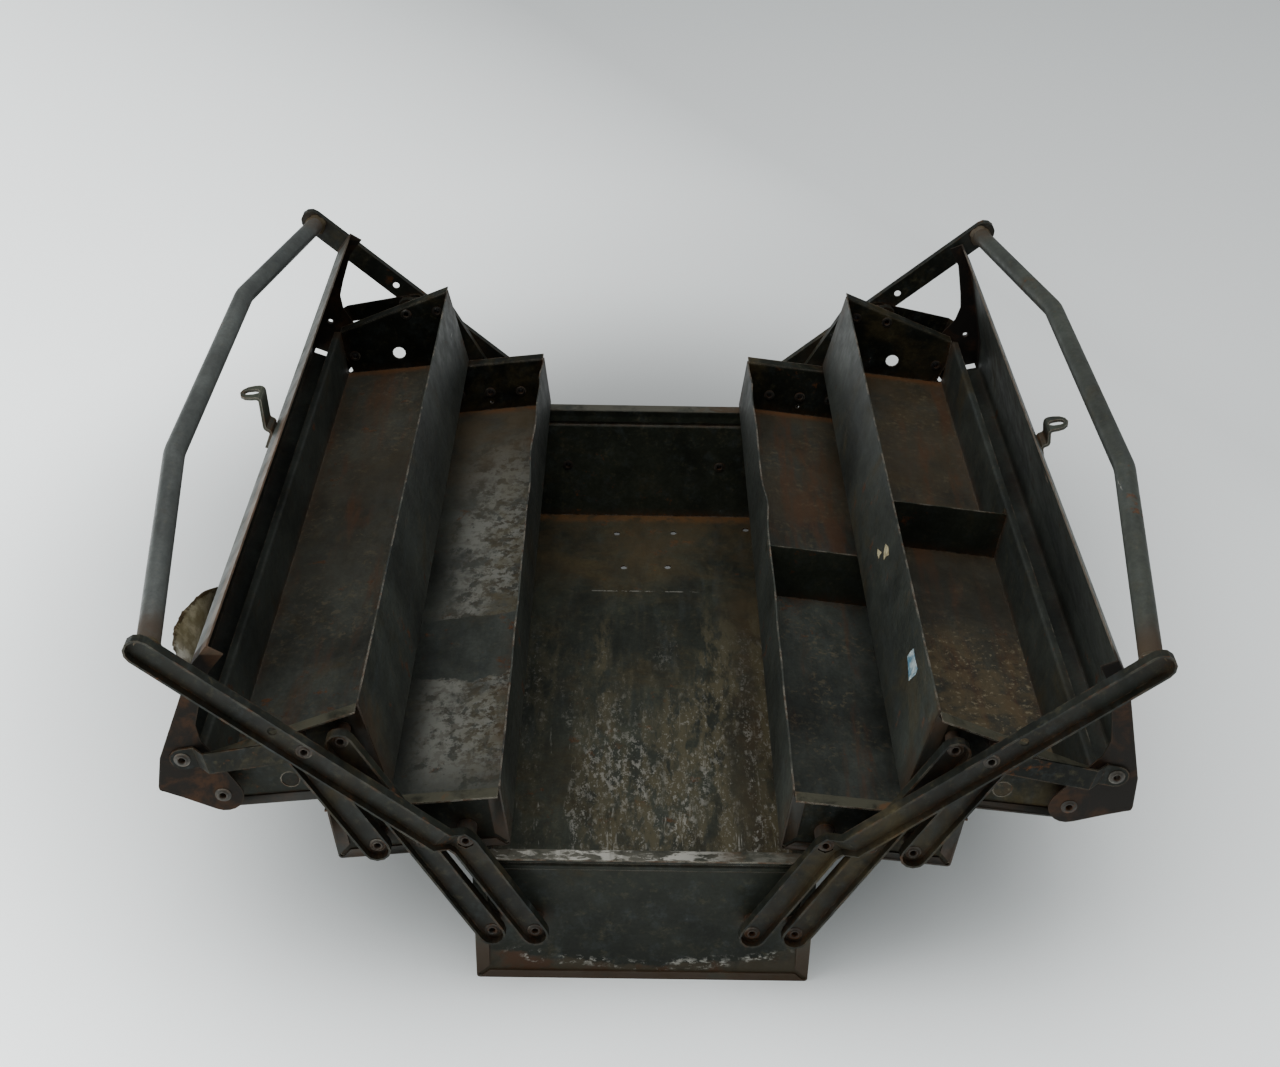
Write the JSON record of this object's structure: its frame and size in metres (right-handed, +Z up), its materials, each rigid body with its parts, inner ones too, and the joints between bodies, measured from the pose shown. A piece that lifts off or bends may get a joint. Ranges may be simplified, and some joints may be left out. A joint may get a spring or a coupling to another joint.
{
  "type": "cantilever toolbox",
  "caption": "Sheet-steel cantilever toolbox, open: deep base, fold-out trays on riveted links, hinged lids with straps and hasps, and bent tube handles.",
  "frame": {"origin": "middle of the base's underside, on the surface it stands on", "axes": "+X across the box to the right-hand trays, +Y along the box to its back end, +Z up"},
  "size_m": [0.5802, 0.5774, 0.2795],
  "materials": {
    "base_paint": "worn matt paint, rust and bare metal",
    "tray_paint": "worn matt paint, rust and bare metal",
    "lid_paint": "worn satin paint, rusty ends",
    "link_paint": "dark worn paint, rusty edges",
    "tube_paint": "satin paint, rust at the welds",
    "hasp_paint": "worn satin paint",
    "divider_paint": "dark matt paint",
    "rivet_steel": "worn, rusty rims"
  },
  "bodies": {
    "base": {"base_body": "base_paint", "base_end_back": "base_paint", "base_end_front": "base_paint", "base_pivot_rivets": "rivet_steel"},
    "left_handle": {"left_handle_arm_front": "link_paint", "left_handle_arm_back": "link_paint", "left_handle_tube": "tube_paint", "left_handle_strap_rivets": "rivet_steel"},
    "left_long_links": {"left_long_link_front": "link_paint", "left_long_link_back": "link_paint"},
    "left_lower_tray": {"left_lower_tray_body": "tray_paint", "left_lower_tray_end_back": "tray_paint", "left_lower_tray_end_front": "tray_paint", "left_lower_tray_rivets": "rivet_steel"},
    "left_short_links": {"left_short_link_front": "link_paint", "left_short_link_back": "link_paint"},
    "left_upper_tray": {"left_upper_tray_body": "tray_paint", "left_upper_tray_end_back": "tray_paint", "left_upper_tray_end_front": "tray_paint", "left_upper_tray_rivets": "rivet_steel"},
    "left_lid": {"left_lid_cover": "lid_paint", "left_lid_hasp": "hasp_paint", "left_lid_strap_rivets": "rivet_steel"},
    "left_straps": {"left_strap_front": "link_paint", "left_strap_back": "link_paint"},
    "right_handle": {"right_handle_arm_front": "link_paint", "right_handle_arm_back": "link_paint", "right_handle_tube": "tube_paint", "right_handle_strap_rivets": "rivet_steel"},
    "right_long_links": {"right_long_link_front": "link_paint", "right_long_link_back": "link_paint"},
    "right_lower_tray": {"right_lower_tray_body": "tray_paint", "right_lower_tray_divider": "divider_paint", "right_lower_tray_end_back": "tray_paint", "right_lower_tray_end_front": "tray_paint", "right_lower_tray_rivets": "rivet_steel"},
    "right_short_links": {"right_short_link_front": "link_paint", "right_short_link_back": "link_paint"},
    "right_upper_tray": {"right_upper_tray_body": "tray_paint", "right_upper_tray_divider": "divider_paint", "right_upper_tray_end_back": "tray_paint", "right_upper_tray_end_front": "tray_paint", "right_upper_tray_rivets": "rivet_steel"},
    "right_lid": {"right_lid_cover": "lid_paint", "right_lid_hasp": "hasp_paint", "right_lid_strap_rivets": "rivet_steel"},
    "right_straps": {"right_strap_front": "link_paint", "right_strap_back": "link_paint"}
  },
  "joints": [
    {"name": "left_handle_swing", "type": "hinge", "parent": "base", "child": "left_handle", "pos_m": [-0.0635, 0, 0.0503], "axis": [0, 1, 0], "range_deg": [0, 55]},
    {"name": "left_link_swing", "type": "hinge", "parent": "base", "child": "left_long_links", "pos_m": [-0.0885, 0, 0.0503], "axis": [0, 1, 0], "range_deg": [0, 55]},
    {"name": "left_lower_tray_turn", "type": "hinge", "parent": "left_long_links", "child": "left_lower_tray", "pos_m": [-0.12679, 0, 0.11825], "axis": [0, 1, 0], "range_deg": [-48, 0]},
    {"name": "left_short_link_swing", "type": "hinge", "parent": "left_lower_tray", "child": "left_short_links", "pos_m": [-0.1516, 0, 0.11521], "axis": [0, 1, 0], "range_deg": [0, 48]},
    {"name": "left_upper_tray_turn", "type": "hinge", "parent": "left_long_links", "child": "left_upper_tray", "pos_m": [-0.16734, 0, 0.19022], "axis": [0, 1, 0], "range_deg": [-48, 0]},
    {"name": "left_lid_turn", "type": "hinge", "parent": "left_upper_tray", "child": "left_lid", "pos_m": [-0.23538, 0, 0.14942], "axis": [0, 1, 0], "range_deg": [0, 51.5]},
    {"name": "left_strap_swing", "type": "hinge", "parent": "left_lid", "child": "left_straps", "pos_m": [-0.25482, 0, 0.1753], "axis": [0, 1, 0], "range_deg": [-78.51, 0]},
    {"name": "right_handle_swing", "type": "hinge", "parent": "base", "child": "right_handle", "pos_m": [0.0635, 0, 0.0503], "axis": [0, -1, 0], "range_deg": [0, 55]},
    {"name": "right_link_swing", "type": "hinge", "parent": "base", "child": "right_long_links", "pos_m": [0.0885, 0, 0.0503], "axis": [0, -1, 0], "range_deg": [0, 55]},
    {"name": "right_lower_tray_turn", "type": "hinge", "parent": "right_long_links", "child": "right_lower_tray", "pos_m": [0.12679, 0, 0.11825], "axis": [0, -1, 0], "range_deg": [-48, 0]},
    {"name": "right_short_link_swing", "type": "hinge", "parent": "right_lower_tray", "child": "right_short_links", "pos_m": [0.1516, 0, 0.11521], "axis": [0, -1, 0], "range_deg": [0, 48]},
    {"name": "right_upper_tray_turn", "type": "hinge", "parent": "right_long_links", "child": "right_upper_tray", "pos_m": [0.16734, 0, 0.19022], "axis": [0, -1, 0], "range_deg": [-48, 0]},
    {"name": "right_lid_turn", "type": "hinge", "parent": "right_upper_tray", "child": "right_lid", "pos_m": [0.23538, 0, 0.14942], "axis": [0, -1, 0], "range_deg": [0, 59]},
    {"name": "right_strap_swing", "type": "hinge", "parent": "right_lid", "child": "right_straps", "pos_m": [0.25803, 0, 0.17253], "axis": [0, -1, 0], "range_deg": [-84.42, 0]}
  ],
  "couplings": [
    {"joint": "left_link_swing", "follows": "left_handle_swing", "ratio": 1},
    {"joint": "left_lower_tray_turn", "follows": "left_handle_swing", "ratio": -0.87273},
    {"joint": "left_short_link_swing", "follows": "left_handle_swing", "ratio": 0.87273},
    {"joint": "left_upper_tray_turn", "follows": "left_handle_swing", "ratio": -0.87273},
    {"joint": "left_lid_turn", "follows": "left_handle_swing", "ratio": 0.93631},
    {"joint": "left_strap_swing", "follows": "left_handle_swing", "ratio": -1.4273},
    {"joint": "right_link_swing", "follows": "right_handle_swing", "ratio": 1},
    {"joint": "right_lower_tray_turn", "follows": "right_handle_swing", "ratio": -0.87273},
    {"joint": "right_short_link_swing", "follows": "right_handle_swing", "ratio": 0.87273},
    {"joint": "right_upper_tray_turn", "follows": "right_handle_swing", "ratio": -0.87273},
    {"joint": "right_lid_turn", "follows": "right_handle_swing", "ratio": 1.0727},
    {"joint": "right_strap_swing", "follows": "right_handle_swing", "ratio": -1.5349}
  ]
}
